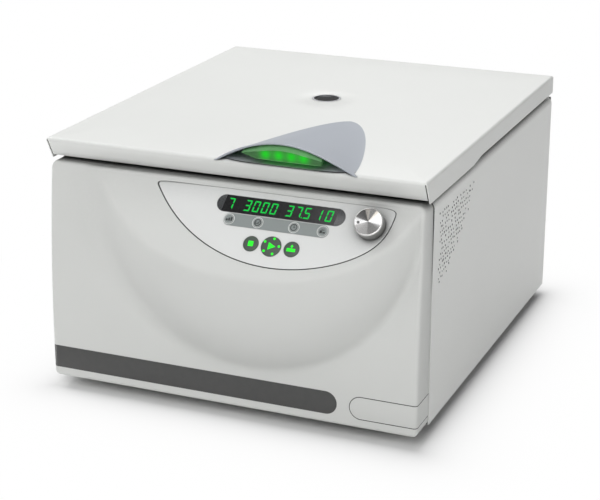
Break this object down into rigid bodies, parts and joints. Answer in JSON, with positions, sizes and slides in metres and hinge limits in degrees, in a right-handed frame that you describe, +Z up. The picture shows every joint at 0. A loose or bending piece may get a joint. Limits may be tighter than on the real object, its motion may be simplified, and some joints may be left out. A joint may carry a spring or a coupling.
{
  "type": "butterfat centrifuge",
  "caption": "Bench butterfat centrifuge with a hinged lid over a heated chamber, a conical rotor with tilted sleeves and a slanted control panel with a knob.",
  "frame": {"origin": "centre of the bounding box's underside, on the bench under the rubber feet", "axes": "+X to the right seen from the front, +Y to the rear, +Z up"},
  "size_m": [0.55, 0.7066, 0.3989],
  "materials": {
    "cabinet_paint": "satin light grey-white powder coat",
    "lid_paint": "satin white powder coat",
    "front_plastic": "fine textured off-white moulding",
    "panel_film": "semi-gloss white film",
    "trim_dark": "dark grey foil",
    "display_dark": "smoked glossy window",
    "strip_grey": "mid grey foil",
    "key_dark": "dark key caps",
    "knob_metal": "turned face, radial brush",
    "handle_grey": "blue-grey satin",
    "lens_green": "translucent green",
    "led_green": "lit green",
    "rubber_black": "matt rubber",
    "steel": "brushed stainless",
    "rotor_metal": "anodised",
    "black_plastic": "moulded black",
    "motor_paint": "dark grey",
    "board": "circuit board",
    "heater": "amber silicone heating mat",
    "smoked_glass": "smoked disc"
  },
  "bodies": {
    "cabinet": {"base_tray": "cabinet_paint", "feet": "rubber_black", "side_panel_left": "cabinet_paint", "side_panel_right": "cabinet_paint", "rear_panel": "cabinet_paint", "front_moulding": "front_plastic", "trim_band": "trim_dark", "corner_cover": "front_plastic", "top_deck": "cabinet_paint", "bowl": "steel", "bowl_gasket": "rubber_black", "heater_band": "heater", "control_panel": "panel_film", "display_window": "display_dark", "display_module": "black_plastic", "key_strip": "strip_grey", "circuit_board": "board", "key_switches": "black_plastic", "encoder": "steel", "motor": "motor_paint", "motor_plate": "steel", "rubber_mounts": "rubber_black", "hinge_cabinet": "steel", "hinge_pins": "steel", "latch_housing": "black_plastic", "latch_pin": "steel", "power_inlet": "black_plastic", "rocker_frame": "black_plastic", "cooling_fan": "black_plastic", "rear_screws": "steel"},
    "lid": {"lid_shell": "lid_paint", "lid_liner": "cabinet_paint", "handle_hood": "handle_grey", "handle_base": "handle_grey", "handle_lens": "lens_green", "led_bar": "led_green", "sight_ring": "rotor_metal", "sight_glass": "smoked_glass", "lid_striker": "steel", "hinge_lid": "steel"},
    "rotor": {"drive_shaft": "steel", "rotor_carrier": "rotor_metal", "rotor_rim": "rotor_metal", "rotor_sleeves": "steel", "sleeve_pads": "rubber_black", "rotor_clamp_ring": "rotor_metal", "rotor_pillars": "steel", "rotor_nut": "black_plastic"},
    "setting_knob": {"knob": "knob_metal", "knob_shaft": "steel"},
    "stop_button": {"stop_key": "key_dark"},
    "start_button": {"start_key": "key_dark"},
    "lid_button": {"lid_key": "key_dark"},
    "select_button_1": {"select_key_1": "strip_grey"},
    "select_button_2": {"select_key_2": "strip_grey"},
    "select_button_3": {"select_key_3": "strip_grey"},
    "select_button_4": {"select_key_4": "strip_grey"},
    "latch": {"latch_hook": "steel"},
    "rocker": {"power_rocker": "black_plastic"},
    "fan_wheel": {"fan_impeller": "black_plastic"}
  },
  "joints": [
    {"name": "lid_hinge", "type": "hinge", "parent": "cabinet", "child": "lid", "pos_m": [0, 0.3463, 0.3439], "axis": [-1, 0, 0], "range_deg": [0, 75]},
    {"name": "rotor_spin", "type": "hinge", "parent": "cabinet", "child": "rotor", "pos_m": [0, 0.0693, 0.1585], "axis": [0, 0, 1], "continuous": true},
    {"name": "knob_turn", "type": "hinge", "parent": "cabinet", "child": "setting_knob", "pos_m": [0.207, -0.29092, 0.30349], "axis": [0, -0.766, 0.6428], "continuous": true},
    {"name": "stop_press", "type": "slide", "parent": "cabinet", "child": "stop_button", "axis": [0, 0.766, -0.6428], "range_m": [0, 0.001], "stiffness_N_per_m": 400, "springref_m": -0.0005},
    {"name": "start_press", "type": "slide", "parent": "cabinet", "child": "start_button", "axis": [0, 0.766, -0.6428], "range_m": [0, 0.001], "stiffness_N_per_m": 400, "springref_m": -0.0005},
    {"name": "lid_press", "type": "slide", "parent": "cabinet", "child": "lid_button", "axis": [0, 0.766, -0.6428], "range_m": [0, 0.001], "stiffness_N_per_m": 400, "springref_m": -0.0005},
    {"name": "select_press_1", "type": "slide", "parent": "cabinet", "child": "select_button_1", "axis": [0, 0.766, -0.6428], "range_m": [0, 0.0006], "stiffness_N_per_m": 400, "springref_m": -0.0005},
    {"name": "select_press_2", "type": "slide", "parent": "cabinet", "child": "select_button_2", "axis": [0, 0.766, -0.6428], "range_m": [0, 0.0006], "stiffness_N_per_m": 400, "springref_m": -0.0005},
    {"name": "select_press_3", "type": "slide", "parent": "cabinet", "child": "select_button_3", "axis": [0, 0.766, -0.6428], "range_m": [0, 0.0006], "stiffness_N_per_m": 400, "springref_m": -0.0005},
    {"name": "select_press_4", "type": "slide", "parent": "cabinet", "child": "select_button_4", "axis": [0, 0.766, -0.6428], "range_m": [0, 0.0006], "stiffness_N_per_m": 400, "springref_m": -0.0005},
    {"name": "latch_swing", "type": "hinge", "parent": "cabinet", "child": "latch", "pos_m": [0.084, -0.2067, 0.286], "axis": [1, 0, 0], "range_deg": [0, 16], "stiffness_Nm_per_rad": 0.3, "springref_deg": -11.46},
    {"name": "rocker_tilt", "type": "hinge", "parent": "cabinet", "child": "rocker", "pos_m": [-0.13, 0.3363, 0.077], "axis": [0, 0, 1], "range_deg": [0, 16]},
    {"name": "fan_spin", "type": "hinge", "parent": "cabinet", "child": "fan_wheel", "pos_m": [0.15, 0.3313, 0.127], "axis": [0, 1, 0], "continuous": true}
  ]
}
